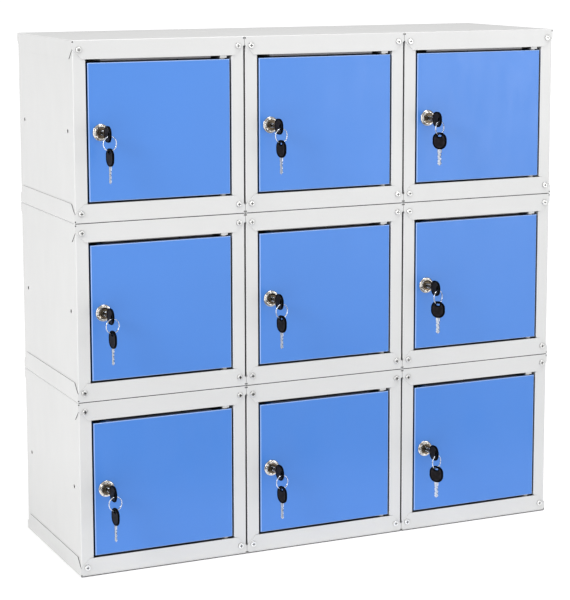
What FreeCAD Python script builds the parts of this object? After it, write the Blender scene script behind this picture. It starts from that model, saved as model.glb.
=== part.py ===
"""Bank of nine cube lockers, three wide and three high, as a FreeCAD document.

Frame: the doors face -Y, +X is to the right and +Z is up. The origin is on the floor at the
centre of the footprint. Every locker is drawn once, centred on X = 0 and Y = 0 with its
underside at Z = 0, and then placed at each column and row.
"""

import FreeCAD
import Part
import Sketcher
import math
import os

COLUMNS = 3
ROWS = 3

# Driving dimensions in millimetres (angles in degrees).
DIMENSIONS = {
    "unit_width": 303.4,
    "unit_depth": 303.4,
    "unit_height": 300.0,
    "column_pitch": 304.0,
    "sheet": 1.0,
    "bend_outside": 2.0,
    "bend_inside": 1.0,
    "tray_flange": 31.5,
    "tray_cut_start": 14.5,
    "tray_cut_reach": 17.0,
    "relief_radius": 1.3,
    "relief_inset": 1.3,
    "relief_drop": 3.2,
    "relief_depth": 4.0,
    "stile": 22.5,
    "stile_lip": 15.0,
    "lip_notch": 33.0,
    "panel_end_gap": 2.0,
    "corner_screw_inset": 11.5,
    "corner_screw_height": 16.0,
    "screw_hole_radius": 2.75,
    "joining_hole_inset": 31.5,
    "joining_hole_radius": 3.3,
    "back_edge_gap": 1.2,
    "cover_half_length": 98.0,
    "cover_depth": 18.0,
    "cover_drop": 4.5,
    "cover_rise": 2.0,
    "cover_leg": 18.0,
    "door_side_gap": 3.0,
    "door_top_gap": 6.0,
    "door_setback": 1.0,
    "door_return": 15.0,
    "return_notch_left": 15.0,
    "return_notch_right": 36.0,
    "pin_inset": 11.0,
    "pin_setback": 8.0,
    "pin_radius": 3.0,
    "pin_length": 9.5,
    "leaf_hole_radius": 3.08,
    "leaf_thickness": 1.5,
    "leaf_drop": 3.0,
    "leaf_half_width": 8.0,
    "leaf_depth": 13.0,
    "leaf_corner": 1.2,
    "bracket_thickness": 1.5,
    "bracket_rise": 2.0,
    "bracket_half_width": 6.0,
    "bracket_depth": 13.0,
    "bracket_tab": 16.0,
    "bracket_foot_inset": 17.0,
    "bracket_foot_start": 5.0,
    "bush_radius": 5.0,
    "bush_bore": 3.05,
    "bush_height": 4.4,
    "lock_inset": 21.0,
    "collar_radius": 14.0,
    "collar_flange": 1.6,
    "collar_ring_radius": 11.8,
    "collar_ring": 2.9,
    "collar_edge": 0.9,
    "barrel_radius": 9.2,
    "barrel_length": 15.5,
    "barrel_hole_radius": 9.4,
    "plug_bore_radius": 7.05,
    "plug_radius": 7.0,
    "plug_recess": 0.8,
    "keyway_width": 2.3,
    "keyway_height": 8.4,
    "keyway_depth": 15.0,
    "lock_nut_flats": 24.0,
    "lock_nut_height": 4.0,
    "cam_thickness": 2.0,
    "cam_radius": 7.5,
    "cam_reach": 31.0,
    "cam_tip_radius": 6.0,
    "tail_side": 7.0,
    "cam_hole_side": 7.1,
    "cam_gap": 0.3,
    "cam_screw_radius": 5.2,
    "cam_screw_height": 2.4,
    "blade_thickness": 2.0,
    "blade_height": 8.0,
    "blade_length": 28.0,
    "blade_root": 5.0,
    "bow_length": 30.0,
    "bow_width": 27.0,
    "bow_corner": 12.4,
    "bow_thickness": 3.6,
    "bow_stand": 15.0,
    "bow_slot_inset": 5.6,
    "bow_slot_length": 7.6,
    "bow_slot_radius": 2.1,
    "ring_radius": 12.1,
    "wire_radius": 0.9,
    "ring_drop": 2.4,
    "spare_drop": 0.8,
    "screw_head_radius": 5.0,
    "screw_head_height": 2.6,
    "screw_head_round": 1.5,
    "screw_shank_radius": 2.5,
    "screw_shank_length": 8.5,
    "cross_length": 5.4,
    "cross_width": 1.3,
    "cross_depth": 1.4,
    "nut_flats": 8.0,
    "nut_height": 4.0,
    "nut_bore": 2.55,
    "bolt_head_radius": 6.0,
    "bolt_head_height": 3.0,
    "bolt_shank_radius": 3.0,
    "bolt_shank_length": 9.5,
    "bolt_nut_flats": 10.0,
    "bolt_nut_height": 4.0,
    "bolt_nut_bore": 3.05,
}

# How far each column's split ring and spare key have turned about the vertical, in degrees.
RING_TURN = [0.0, 5.0, 18.0]
SPARE_TURN = [5.0, 10.0, 33.0]

# Dimensions that follow from the driving ones, written as spreadsheet formulas.
DERIVED = {
    "half_width": "=unit_width / 2",
    "half_depth": "=unit_depth / 2",
    "aperture_half": "=half_width - sheet - stile",
    "door_half": "=aperture_half - door_side_gap",
    "door_bottom": "=tray_flange + door_side_gap",
    "door_top": "=unit_height - tray_flange - door_top_gap",
    "door_middle": "=(door_bottom + door_top) / 2",
    "door_face": "=half_depth - door_setback",
    "hinge_mirror": "=(door_top + bracket_rise + tray_flange) / 2",
    "pin_across": "=door_half - pin_inset",
    "pin_behind": "=door_face - pin_setback",
    "bracket_height": "=door_top + bracket_rise",
    "leaf_height": "=door_top - leaf_drop - leaf_thickness",
    "lock_across": "=lock_inset - door_half",
    "collar_front": "=door_face + collar_flange + collar_ring",
    "plug_front": "=collar_front - plug_recess",
    "plug_back": "=door_face - barrel_length - cam_gap",
    "cam_back": "=plug_back - cam_thickness",
    "bow_near": "=collar_front + bow_stand",
    "slot_out": "=bow_near + bow_length - bow_slot_inset",
    "ring_height": "=door_middle - ring_drop - ring_radius",
    "spare_slot_height": "=ring_height - ring_radius - spare_drop",
}

document = FreeCAD.newDocument("cube_lockers")
sheet = document.addObject("Spreadsheet::Sheet", "Dims")


def fill_sheet():
    """Write each dimension as a label, a value and an alias of the same word."""
    row = 0
    for name, value in list(DIMENSIONS.items()) + list(DERIVED.items()):
        row += 1
        sheet.set("A%d" % row, name)
        sheet.set("B%d" % row, str(value))
        sheet.setAlias("B%d" % row, name)
    document.recompute()


def size(name):
    """The number that a dimension of the sheet holds."""
    return float(sheet.get(name))


def formula(text):
    """Turn words such as 'half_width - sheet' into an expression on the sheet."""
    words = []
    for word in text.replace("(", " ( ").replace(")", " ) ").split():
        known = word in DIMENSIONS or word in DERIVED
        words.append("Dims." + word if known else word)
    return " ".join(words)


def bind(thing, prop, text):
    thing.setExpression(prop, formula(text))


# ---------------------------------------------------------------- sketches and features


def new_body(name):
    return document.addObject("PartDesign::Body", name)


def new_sketch(body, name, role, offset="0"):
    """A sketch on one of the body's own origin planes, moved along the plane's normal."""
    sketch = body.newObject("Sketcher::SketchObject", name)
    plane = [item for item in body.Origin.OriginFeatures if item.Role == role][0]
    sketch.AttachmentSupport = [(plane, "")]
    sketch.MapMode = "FlatFace"
    bind(sketch, ".AttachmentOffset.Base.z", offset)
    return sketch


def pin_point(sketch, geometry, position, across, up):
    """Hold one point of a sketch at sizes measured from the sketch's origin."""
    index = sketch.addConstraint(Sketcher.Constraint("DistanceX", -1, 1, geometry, position, 1.0))
    bind(sketch, "Constraints[%d]" % index, across)
    index = sketch.addConstraint(Sketcher.Constraint("DistanceY", -1, 1, geometry, position, 1.0))
    bind(sketch, "Constraints[%d]" % index, up)


def polygon(sketch, corners):
    """A closed outline through corners, each a pair of formulas."""
    count = len(corners)
    first = sketch.GeometryCount
    points = []
    for corner in range(count):
        angle = 2.0 * math.pi * corner / count
        points.append(FreeCAD.Vector(math.cos(angle), math.sin(angle), 0))
    for corner in range(count):
        sketch.addGeometry(Part.LineSegment(points[corner], points[(corner + 1) % count]), False)
    for corner in range(count):
        after = (corner + 1) % count
        sketch.addConstraint(Sketcher.Constraint("Coincident", first + corner, 2, first + after, 1))
    for corner, (across, up) in enumerate(corners):
        pin_point(sketch, first + corner, 1, across, up)


def rectangle(sketch, left, bottom, right, top):
    polygon(sketch, [(left, bottom), (right, bottom), (right, top), (left, top)])


def circle(sketch, across, up, radius):
    index = sketch.addGeometry(Part.Circle(FreeCAD.Vector(1, 1, 0), FreeCAD.Vector(0, 0, 1), 1), False)
    pin_point(sketch, index, 3, across, up)
    limit = sketch.addConstraint(Sketcher.Constraint("Radius", index, 1.0))
    bind(sketch, "Constraints[%d]" % limit, radius)


def hexagon(sketch, across, up, flats):
    """A regular hexagon with flats to the left and right, given its size across flats."""
    half = "%s / 2" % flats
    corner = "%s * 0.57735" % flats
    edge = "%s * 0.288675" % flats
    left = "%s - %s" % (across, half)
    right = "%s + %s" % (across, half)
    polygon(sketch, [
        (right, "%s - %s" % (up, edge)),
        (right, "%s + %s" % (up, edge)),
        (across, "%s + %s" % (up, corner)),
        (left, "%s + %s" % (up, edge)),
        (left, "%s - %s" % (up, edge)),
        (across, "%s - %s" % (up, corner)),
    ])


def pad(body, sketch, length, backwards=False):
    feature = body.newObject("PartDesign::Pad", sketch.Name + "_pad")
    feature.Profile = sketch
    bind(feature, "Length", length)
    feature.Reversed = backwards
    document.recompute()
    return feature


def pocket(body, sketch, length, along_normal=False):
    """Cut a sketch into the body, against the sketch's normal unless along_normal is set."""
    before = body.Shape.Volume
    feature = body.newObject("PartDesign::Pocket", sketch.Name + "_cut")
    feature.Profile = sketch
    bind(feature, "Length", length)
    feature.Reversed = along_normal
    document.recompute()
    if body.Shape.Volume > before - 1e-6:
        raise RuntimeError("%s cuts nothing" % feature.Name)
    return feature


def mirror(body, features, role):
    """Repeat features on the far side of one of the body's origin planes."""
    plane = [item for item in body.Origin.OriginFeatures if item.Role == role][0]
    feature = body.newObject("PartDesign::Mirrored", features[0].Name + "_mirror")
    feature.Originals = features
    feature.MirrorPlane = (plane, [""])
    body.Tip = feature
    document.recompute()
    return feature


def edges_where(shape, test):
    """Names of the straight edges whose two end points both pass a test."""
    names = []
    for number, edge in enumerate(shape.Edges, 1):
        ends = [vertex.Point for vertex in edge.Vertexes]
        if len(ends) == 2 and test(ends[0]) and test(ends[1]):
            names.append("Edge%d" % number)
    return names


def fillet(body, names, radius):
    base = body.Tip
    feature = body.newObject("PartDesign::Fillet", base.Name + "_round")
    feature.Base = (base, names)
    bind(feature, "Radius", radius)
    document.recompute()
    return feature


def upright_at(across, along):
    """A test for the vertical edge that stands at one place in plan."""
    def test(point):
        return abs(point.x - across) < 1e-4 and abs(point.y - along) < 1e-4
    return test


# ---------------------------------------------------------------- carcass


def make_tray():
    """Top tray: a flat sheet with four flanges folded down and their free corners cut off."""
    body = new_body("tray")
    plan = new_sketch(body, "tray_plan", "XY_Plane", "unit_height - tray_flange")
    rectangle(plan, "- half_width", "- half_depth", "half_width", "half_depth")
    pad(body, plan, "tray_flange")

    top = size("unit_height")
    shape = body.Shape
    fillet(body, edges_where(shape, lambda point: abs(point.z - top) < 1e-4), "bend_outside")

    hollow = new_sketch(body, "tray_hollow", "XY_Plane", "unit_height - tray_flange")
    inner_x = "half_width - sheet"
    inner_y = "half_depth - sheet"
    rectangle(hollow, "0 - (%s)" % inner_x, "0 - (%s)" % inner_y, inner_x, inner_y)
    pocket(body, hollow, "tray_flange - sheet", along_normal=True)
    inside_top = top - size("sheet")
    fillet(body, edges_where(body.Shape, lambda point: abs(point.z - inside_top) < 1e-4), "bend_inside")

    cut_high = "unit_height - tray_cut_start"
    cut_low = "unit_height - tray_flange - 1"
    front = new_sketch(body, "tray_front_corners", "XZ_Plane", "half_depth")
    side = new_sketch(body, "tray_side_corners", "YZ_Plane", "half_width")
    for sketch, half in ((front, "half_width"), (side, "half_depth")):
        for sign in ("-", "+"):
            inward = "+" if sign == "-" else "-"
            outer = "0 %s %s" % (sign, half)
            polygon(sketch, [
                ("%s %s 1" % (outer, sign), cut_high),
                (outer, cut_high),
                ("%s %s tray_cut_reach" % (outer, inward), "unit_height - tray_flange"),
                ("%s %s tray_cut_reach" % (outer, inward), cut_low),
                ("%s %s 1" % (outer, sign), cut_low),
            ])
    mirror(body, [pocket(body, front, "sheet")], "XZ_Plane")
    mirror(body, [pocket(body, side, "sheet")], "YZ_Plane")

    relief = new_sketch(body, "tray_relief", "XZ_Plane", "half_depth")
    screws = new_sketch(body, "tray_screw_holes", "XZ_Plane", "half_depth")
    for sign in ("-", "+"):
        inward = "+" if sign == "-" else "-"
        outer = "0 %s half_width" % sign
        circle(relief, "%s %s relief_inset" % (outer, inward), "unit_height - relief_drop", "relief_radius")
        screw_at = "%s %s corner_screw_inset" % (outer, inward)
        circle(screws, screw_at, "unit_height - corner_screw_height", "screw_hole_radius")
    mirror(body, [pocket(body, relief, "relief_depth")], "XZ_Plane")
    mirror(body, [pocket(body, screws, "relief_depth")], "XZ_Plane")

    stacking = new_sketch(body, "tray_stacking_holes", "XY_Plane", "unit_height + 1")
    for sign in ("-", "+"):
        inward = "+" if sign == "-" else "-"
        place = "0 %s half_depth %s joining_hole_inset" % (sign, inward)
        circle(stacking, "0", place, "joining_hole_radius")
    pocket(body, stacking, "sheet + 2")
    return body


def make_side_panel():
    """Left side panel: a folded channel with a lip behind its front stile."""
    body = new_body("side_panel")
    plan = new_sketch(body, "side_plan", "XY_Plane", "panel_end_gap")
    outer = "0 - half_width + sheet"
    stile_edge = outer + " + stile"
    front = "0 - half_depth + sheet"
    rear = "half_depth - sheet"
    polygon(plan, [
        (outer, front),
        (stile_edge, front),
        (stile_edge, front + " + stile_lip"),
        (stile_edge + " - sheet", front + " + stile_lip"),
        (stile_edge + " - sheet", front + " + sheet"),
        (outer + " + sheet", front + " + sheet"),
        (outer + " + sheet", rear + " - sheet"),
        (stile_edge, rear + " - sheet"),
        (stile_edge, rear),
        (outer, rear),
    ])
    pad(body, plan, "unit_height - 2 * panel_end_gap")

    sheet_t = size("sheet")
    left = sheet_t - size("half_width")
    near = sheet_t - size("half_depth")
    stile_x = left + size("stile")
    outside = [(left, near), (stile_x, near), (left, -near)]
    inside = [(left + sheet_t, near + sheet_t), (stile_x - sheet_t, near + sheet_t),
              (left + sheet_t, -near - sheet_t)]
    for places, radius in ((outside, "bend_outside"), (inside, "bend_inside")):
        names = []
        for place in places:
            names += edges_where(body.Shape, upright_at(*place))
        fillet(body, names, radius)

    notch = new_sketch(body, "side_lip_notch", "YZ_Plane", stile_edge + " + 1")
    lip_start = front + " + sheet"
    lip_end = front + " + stile_lip + 1"
    rectangle(notch, lip_start, "0", lip_end, "lip_notch")
    rectangle(notch, lip_start, "unit_height - lip_notch", lip_end, "unit_height")
    pocket(body, notch, "sheet + 2")

    screws = new_sketch(body, "side_screw_holes", "XZ_Plane", "half_depth")
    screw_x = "0 - half_width + corner_screw_inset"
    circle(screws, screw_x, "corner_screw_height", "screw_hole_radius")
    circle(screws, screw_x, "unit_height - corner_screw_height", "screw_hole_radius")
    mirror(body, [pocket(body, screws, "relief_depth")], "XZ_Plane")

    joining = new_sketch(body, "side_joining_holes", "YZ_Plane", outer + " - 1")
    for sign in ("-", "+"):
        inward = "+" if sign == "-" else "-"
        place = "0 %s half_depth %s joining_hole_inset" % (sign, inward)
        circle(joining, place, "unit_height / 2", "joining_hole_radius")
    pocket(body, joining, "sheet + 2", along_normal=True)
    return body


def make_back_panel():
    """Back panel: a flat sheet screwed behind the rear flanges of the side panels."""
    body = new_body("back_panel")
    face = new_sketch(body, "back_face", "XZ_Plane", "0 - half_depth + 2 * sheet")
    edge = "half_width - 2 * sheet - back_edge_gap"
    rectangle(face, "0 - (%s)" % edge, "panel_end_gap", edge, "unit_height - panel_end_gap")
    for sign in ("-", "+"):
        inward = "+" if sign == "-" else "-"
        place = "0 %s half_width %s corner_screw_inset" % (sign, inward)
        circle(face, place, "corner_screw_height", "screw_hole_radius")
        circle(face, place, "unit_height - corner_screw_height", "screw_hole_radius")
    pad(body, face, "sheet")
    return body


# ---------------------------------------------------------------- door and hinges


def make_gap_cover():
    """Gap cover: a folded strip welded behind the top rail, hanging across the gap above the door."""
    body = new_body("gap_cover")
    outline = new_sketch(body, "cover_outline", "YZ_Plane", "0 - cover_half_length")
    near = "0 - half_depth + sheet"
    back = near + " + cover_depth"
    shelf = "unit_height - tray_flange + cover_rise"
    polygon(outline, [
        (near, shelf),
        (back + " - sheet", shelf),
        (back + " - sheet", "unit_height - tray_flange - cover_drop"),
        (back, "unit_height - tray_flange - cover_drop"),
        (back, shelf + " + sheet"),
        (near + " + sheet", shelf + " + sheet"),
        (near + " + sheet", "unit_height - tray_flange + cover_leg"),
        (near, "unit_height - tray_flange + cover_leg"),
    ])
    pad(body, outline, "2 * cover_half_length")
    return body


def make_door_panel():
    """Door: a shallow pan, open at the back, with its upper and lower returns cut short."""
    body = new_body("door_panel")
    face = new_sketch(body, "door_outline", "XZ_Plane", "door_face")
    rectangle(face, "0 - door_half", "door_bottom", "door_half", "door_top")
    pad(body, face, "door_return", backwards=True)

    front = -size("door_face")
    names = edges_where(body.Shape, lambda point: abs(point.y - front) < 1e-4)
    fillet(body, names, "bend_outside")

    hollow = new_sketch(body, "door_hollow", "XZ_Plane", "door_face - door_return")
    inner = "door_half - sheet"
    rectangle(hollow, "0 - (%s)" % inner, "door_bottom + sheet", inner, "door_top - sheet")
    pocket(body, hollow, "door_return - sheet", along_normal=True)
    inside_front = front + size("sheet")
    fillet(body, edges_where(body.Shape, lambda point: abs(point.y - inside_front) < 1e-4), "bend_inside")

    notch_front = "0 - door_face + bend_outside + 0.5"
    notch_back = "0 - door_face + door_return + 1"
    notch_end = "door_half - sheet - 0.2"
    for name, height in (("door_top_notch", "door_top + 1"), ("door_bottom_notch", "door_bottom + sheet + 1")):
        notch = new_sketch(body, name, "XY_Plane", height)
        left_end = "0 - door_half + return_notch_left"
        right_start = "door_half - return_notch_right"
        rectangle(notch, "0 - (%s)" % notch_end, notch_front, left_end, notch_back)
        rectangle(notch, right_start, notch_front, notch_end, notch_back)
        pocket(body, notch, "sheet + 2")

    lock_hole = new_sketch(body, "door_lock_hole", "XZ_Plane", "door_face + 1")
    circle(lock_hole, "lock_across", "door_middle", "barrel_hole_radius")
    pocket(body, lock_hole, "sheet + 2")
    return body


def make_leaf():
    """Upper hinge leaf: a small plate welded inside the door, bored for the hinge pin."""
    body = new_body("hinge_leaf")
    plan = new_sketch(body, "leaf_plan", "XY_Plane", "leaf_height")
    near = "0 - door_face + sheet"
    rectangle(plan, "pin_across - leaf_half_width", near, "door_half - sheet", near + " + leaf_depth")
    pad(body, plan, "leaf_thickness")
    corner = upright_at(size("door_half") - size("sheet"), size("sheet") - size("door_face"))
    fillet(body, edges_where(body.Shape, corner), "leaf_corner")
    bore = new_sketch(body, "leaf_bore", "XY_Plane", "leaf_height + leaf_thickness + 1")
    circle(bore, "pin_across", "0 - pin_behind", "leaf_hole_radius")
    pocket(body, bore, "leaf_thickness + 2")
    return body


def make_bracket():
    """Upper hinge bracket: a tongue over the door and a tab welded behind the rail and stile."""
    body = new_body("hinge_bracket")
    near = "0 - half_depth + 2 * sheet"
    tongue = new_sketch(body, "bracket_tongue", "XY_Plane", "bracket_height")
    left = "pin_across - bracket_half_width"
    right = "pin_across + bracket_half_width"
    rectangle(tongue, left, near, right, near + " + bracket_depth")
    circle(tongue, "pin_across", "0 - pin_behind", "pin_radius")
    pad(body, tongue, "bracket_thickness")

    tab = new_sketch(body, "bracket_tab", "XZ_Plane", "half_depth - 2 * sheet")
    foot = "half_width - bracket_foot_inset"
    foot_start = "bracket_height + bracket_foot_start"
    polygon(tab, [
        (left, "bracket_height"),
        (right, "bracket_height"),
        (right, foot_start),
        (foot, foot_start),
        (foot, "bracket_height + bracket_tab"),
        (left, "bracket_height + bracket_tab"),
    ])
    pad(body, tab, "bracket_thickness", backwards=True)
    return body


def make_pin():
    """Upper hinge pin, riveted into the bracket's tongue and pointing down into the leaf."""
    body = new_body("hinge_pin")
    plan = new_sketch(body, "pin_plan", "XY_Plane", "bracket_height + bracket_thickness")
    circle(plan, "pin_across", "0 - pin_behind", "pin_radius")
    pad(body, plan, "pin_length", backwards=True)
    return body


def make_bush():
    """Upper hinge bush: a plastic spacer on the pin, between the bracket and the leaf."""
    body = new_body("hinge_bush")
    plan = new_sketch(body, "bush_plan", "XY_Plane", "bracket_height")
    circle(plan, "pin_across", "0 - pin_behind", "bush_radius")
    circle(plan, "pin_across", "0 - pin_behind", "bush_bore")
    pad(body, plan, "bush_height", backwards=True)
    return body


# ---------------------------------------------------------------- lock and keys


def make_housing():
    """Lock housing: a stepped collar in front of the door and a barrel through it."""
    body = new_body("lock_housing")
    half = new_sketch(body, "housing_half", "YZ_Plane", "lock_across")
    face = "0 - door_face"
    flange = face + " - collar_flange"
    front = "0 - collar_front"
    polygon(half, [
        (face + " + barrel_length", "door_middle + plug_bore_radius"),
        (face + " + barrel_length", "door_middle + barrel_radius"),
        (face, "door_middle + barrel_radius"),
        (face, "door_middle + collar_radius"),
        (flange + " + collar_edge", "door_middle + collar_radius"),
        (flange, "door_middle + collar_radius - collar_edge"),
        (flange, "door_middle + collar_ring_radius"),
        (front + " + collar_edge", "door_middle + collar_ring_radius"),
        (front, "door_middle + collar_ring_radius - collar_edge"),
        (front, "door_middle + plug_bore_radius"),
    ])
    axis = half.addGeometry(Part.LineSegment(FreeCAD.Vector(0, 1, 0), FreeCAD.Vector(9, 1, 0)), True)
    pin_point(half, axis, 1, "0", "door_middle")
    pin_point(half, axis, 2, "9", "door_middle")
    turn = body.newObject("PartDesign::Revolution", "housing_turn")
    turn.Profile = half
    turn.ReferenceAxis = (half, ["Axis0"])
    turn.Angle = 360
    document.recompute()
    return body


def make_lock_nut():
    """Large hexagon nut that clamps the lock housing to the door from behind."""
    body = new_body("lock_nut")
    face = new_sketch(body, "lock_nut_face", "XZ_Plane", "door_face - sheet")
    hexagon(face, "lock_across", "door_middle", "lock_nut_flats")
    circle(face, "lock_across", "door_middle", "barrel_radius")
    pad(body, face, "lock_nut_height", backwards=True)
    return body


def make_plug():
    """Lock plug: it turns in the housing, with a keyway in front and a square tail behind."""
    body = new_body("lock_plug")
    face = new_sketch(body, "plug_face", "XZ_Plane", "plug_front")
    circle(face, "lock_across", "door_middle", "plug_radius")
    pad(body, face, "plug_front - plug_back", backwards=True)
    tail = new_sketch(body, "plug_tail", "XZ_Plane", "plug_back")
    half = "tail_side / 2"
    rectangle(tail, "lock_across - " + half, "door_middle - " + half,
              "lock_across + " + half, "door_middle + " + half)
    pad(body, tail, "cam_thickness", backwards=True)
    keyway = new_sketch(body, "plug_keyway", "XZ_Plane", "plug_front + 1")
    across = "keyway_width / 2"
    up = "keyway_height / 2"
    rectangle(keyway, "lock_across - " + across, "door_middle - " + up,
              "lock_across + " + across, "door_middle + " + up)
    pocket(body, keyway, "keyway_depth + 1")
    return body


def make_cam():
    """Locking cam: a tapering steel finger that hangs down when the door is unlocked."""
    body = new_body("cam_finger")
    face = new_sketch(body, "cam_face", "XZ_Plane", "plug_back")
    tip = "door_middle - cam_reach"
    polygon(face, [
        ("lock_across - cam_radius", "door_middle + cam_radius"),
        ("lock_across - cam_radius", "door_middle - cam_radius"),
        ("lock_across - cam_tip_radius", tip),
        ("lock_across + cam_tip_radius", tip),
        ("lock_across + cam_radius", "door_middle - cam_radius"),
        ("lock_across + cam_radius", "door_middle + cam_radius"),
    ])
    half = "cam_hole_side / 2"
    rectangle(face, "lock_across - " + half, "door_middle - " + half,
              "lock_across + " + half, "door_middle + " + half)
    pad(body, face, "cam_thickness", backwards=True)
    return body


def make_cam_screw():
    """Screw head that holds the cam on the plug's tail."""
    body = new_body("cam_screw")
    face = new_sketch(body, "cam_screw_face", "XZ_Plane", "cam_back")
    circle(face, "lock_across", "door_middle", "cam_screw_radius")
    pad(body, face, "cam_screw_height", backwards=True)
    return body


def make_key_blade():
    """Key blade lying along -Y, centred on the origin's XZ axes, with its root in the bow."""
    body = new_body("key_blade")
    side = new_sketch(body, "blade_side", "YZ_Plane", "0 - blade_thickness / 2")
    half = "blade_height / 2"
    rectangle(side, "0 - blade_root", "0 - " + half, "blade_length", half)
    pad(body, side, "blade_thickness")
    return body


def make_key_bow():
    """Key bow: an oval plastic grip around the blade's root, with a slot for the ring."""
    body = new_body("key_bow")
    side = new_sketch(body, "bow_side", "YZ_Plane", "0 - bow_thickness / 2")
    half = "bow_width / 2"
    rectangle(side, "0 - bow_length", "0 - " + half, "0", half)
    pad(body, side, "bow_thickness")
    length = size("bow_length")
    half_width = size("bow_width") / 2
    names = []
    for number, edge in enumerate(body.Shape.Edges, 1):
        middle = edge.CenterOfMass
        at_end = abs(middle.y) < 1e-4 or abs(middle.y + length) < 1e-4
        if at_end and abs(abs(middle.z) - half_width) < 1e-4:
            names.append("Edge%d" % number)
    fillet(body, names, "bow_corner")

    slot = new_sketch(body, "bow_slot", "YZ_Plane", "bow_thickness / 2 + 1")
    centre = "0 - bow_length + bow_slot_inset"
    arc_reach = "bow_slot_length / 2 - bow_slot_radius"
    rectangle(slot, centre + " - bow_slot_radius", "0 - (%s)" % arc_reach,
              centre + " + bow_slot_radius", arc_reach)
    pocket(body, slot, "bow_thickness + 2")
    for name, sign in (("bow_slot_low", "-"), ("bow_slot_high", "+")):
        end = new_sketch(body, name, "YZ_Plane", "bow_thickness / 2 + 1")
        circle(end, centre, "0 %s (%s)" % (sign, arc_reach), "bow_slot_radius")
        pocket(body, end, "bow_thickness + 2")

    root = new_sketch(body, "bow_root", "YZ_Plane", "blade_thickness / 2")
    half_blade = "blade_height / 2"
    rectangle(root, "0 - blade_root", "0 - " + half_blade, "1", half_blade)
    pocket(body, root, "blade_thickness")
    return body


def make_ring():
    """Split ring in the XZ plane, centred on the origin."""
    ring = document.addObject("Part::Torus", "split_ring")
    bind(ring, "Radius1", "ring_radius")
    bind(ring, "Radius2", "wire_radius")
    ring.Placement.Rotation = FreeCAD.Rotation(FreeCAD.Vector(1, 0, 0), 90)
    document.recompute()
    return ring


# ---------------------------------------------------------------- fasteners


def make_corner_screw():
    """Pan-head screw with a cross recess: its head's seat is at the origin, facing -Y."""
    body = new_body("corner_screw")
    head = new_sketch(body, "screw_head", "XZ_Plane")
    circle(head, "0", "0", "screw_head_radius")
    pad(body, head, "screw_head_height")
    front = -size("screw_head_height")
    rims = [number for number, edge in enumerate(body.Shape.Edges, 1)
            if abs(edge.BoundBox.YMax - front) < 1e-4]
    fillet(body, ["Edge%d" % rims[0]], "screw_head_round")
    shank = new_sketch(body, "screw_shank", "XZ_Plane")
    circle(shank, "0", "0", "screw_shank_radius")
    pad(body, shank, "screw_shank_length", backwards=True)
    recess = new_sketch(body, "screw_recess", "XZ_Plane", "screw_head_height")
    reach = "cross_length / 2"
    arm = "cross_width / 2"
    polygon(recess, [
        (arm, arm), (arm, reach), ("0 - " + arm, reach), ("0 - " + arm, arm),
        ("0 - " + reach, arm), ("0 - " + reach, "0 - " + arm), ("0 - " + arm, "0 - " + arm),
        ("0 - " + arm, "0 - " + reach), (arm, "0 - " + reach), (arm, "0 - " + arm),
        (reach, "0 - " + arm), (reach, arm),
    ])
    pocket(body, recess, "cross_depth")
    return body


def make_nut(name, flats, height, bore):
    """Hexagon nut that grows from the origin along +Y."""
    body = new_body(name)
    face = new_sketch(body, name + "_face", "XZ_Plane")
    hexagon(face, "0", "0", flats)
    circle(face, "0", "0", bore)
    pad(body, face, height, backwards=True)
    return body


def make_joining_bolt():
    """Flat-head bolt that joins two lockers: its head's seat is at the origin, facing -Y."""
    body = new_body("joining_bolt")
    head = new_sketch(body, "bolt_head", "XZ_Plane")
    circle(head, "0", "0", "bolt_head_radius")
    pad(body, head, "bolt_head_height")
    shank = new_sketch(body, "bolt_shank", "XZ_Plane")
    circle(shank, "0", "0", "bolt_shank_radius")
    pad(body, shank, "bolt_shank_length", backwards=True)
    return body


# ---------------------------------------------------------------- placing the pieces

TURN_NONE = FreeCAD.Rotation()
TURN_OVER = FreeCAD.Rotation(FreeCAD.Vector(1, 0, 0), 180)
TURN_ABOUT = FreeCAD.Rotation(FreeCAD.Vector(0, 0, 1), 180)
POINT_RIGHT = FreeCAD.Rotation(FreeCAD.Vector(0, 0, 1), -90)
POINT_UP = FreeCAD.Rotation(FreeCAD.Vector(1, 0, 0), 90)
BLADE_DOWN = FreeCAD.Rotation(FreeCAD.Vector(1, 0, 0), -90)


def copy_of(source, name, across="0", along="0", up="0", rotation=TURN_NONE):
    """A linked copy of a piece, placed by formulas on the sheet."""
    link = document.addObject("App::Link", name)
    link.LinkedObject = source
    link.Placement.Rotation = rotation
    bind(link, ".Placement.Base.x", across)
    bind(link, ".Placement.Base.y", along)
    bind(link, ".Placement.Base.z", up)
    return link


def mirrored_in_height(source, name):
    """A mirror image of an upper hinge piece, at the door's lower end."""
    image = document.addObject("Part::Mirroring", name)
    image.Source = source
    image.Normal = FreeCAD.Vector(0, 0, 1)
    bind(image, ".Base.z", "hinge_mirror")
    return image


def node(name, pieces):
    """One named sub-part that holds its pieces as separate solids."""
    group = document.addObject("Part::Compound", name)
    group.Links = pieces
    group.Label = name
    return group


def column_place(column):
    return "column_pitch * %d" % (column - COLUMNS // 2)


def row_place(row):
    """Height of a locker's underside, with row 0 at the top."""
    return "unit_height * %d" % (ROWS - 1 - row)


def at_every_locker(name, source, rotation=TURN_NONE, lift="0"):
    """A node with one copy of a piece in each of the nine lockers, from the bottom row up."""
    pieces = []
    for row in reversed(range(ROWS)):
        for column in range(COLUMNS):
            up = "%s + %s" % (row_place(row), lift)
            piece_name = "%s_r%dc%d" % (name, row + 1, column + 1)
            pieces.append(copy_of(source, piece_name, column_place(column), "0", up, rotation))
    return node(name, pieces)


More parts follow.
